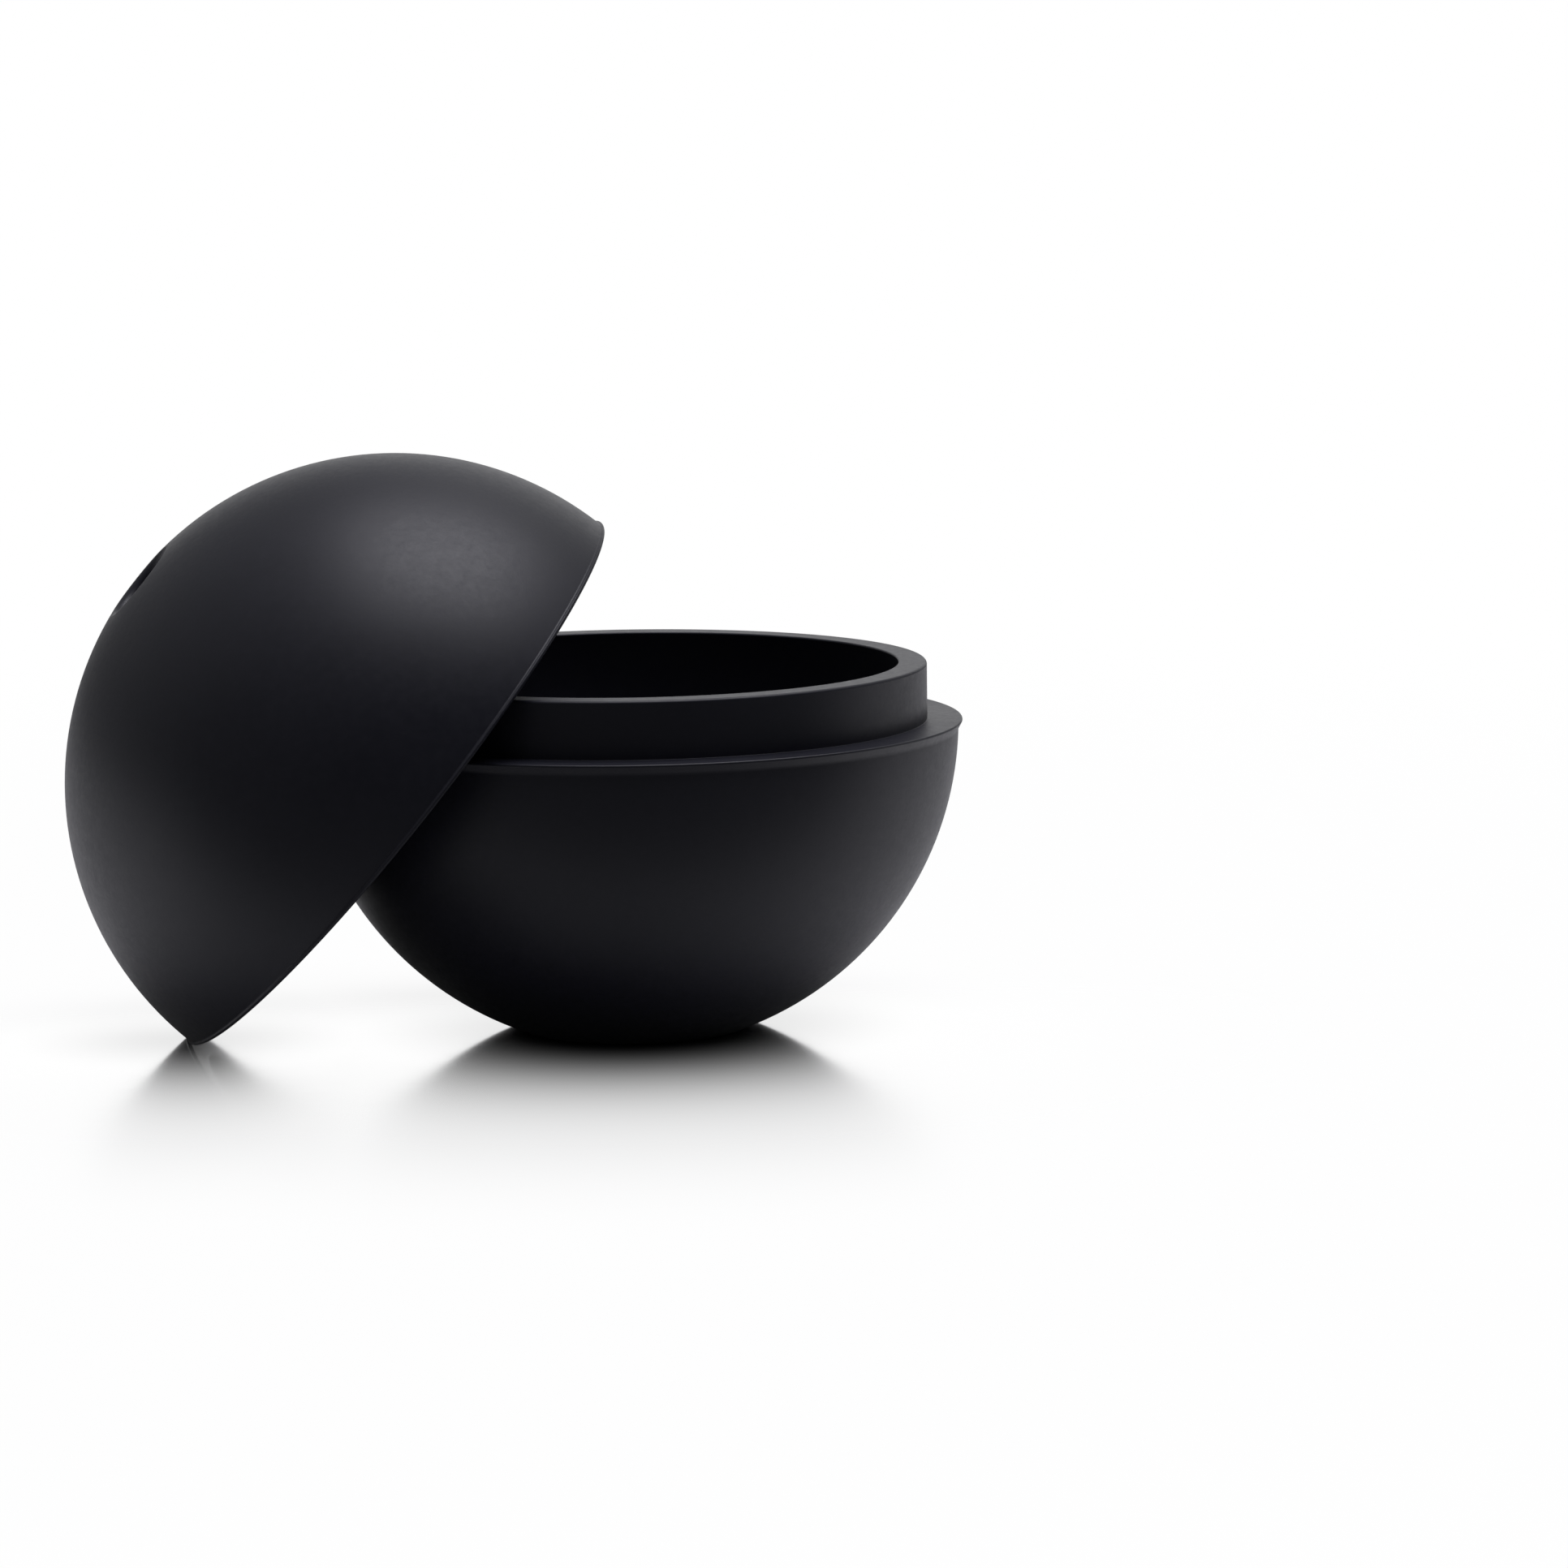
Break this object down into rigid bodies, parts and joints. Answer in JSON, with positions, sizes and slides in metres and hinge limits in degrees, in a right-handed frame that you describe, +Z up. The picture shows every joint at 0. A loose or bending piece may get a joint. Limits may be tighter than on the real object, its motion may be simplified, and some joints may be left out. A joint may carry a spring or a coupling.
{
  "type": "ice ball mold",
  "caption": "Silicone sphere mould in halves: a flat-based bowl with ledge and raised collar, and a domed cap with a fill hole, taken off and leaning on the bowl's collar.",
  "frame": {"origin": "centre of the flat base of the bowl, on the surface it stands on", "axes": "+Z up along the bowl's axis, the cap leans towards -X, and X lies in the plane of symmetry"},
  "size_m": [0.1036, 0.0768, 0.0672],
  "materials": {
    "black_silicone": "matte moulded silicone"
  },
  "bodies": {
    "root": {"lower_half": "black_silicone", "upper_half": "black_silicone"}
  },
  "joints": []
}
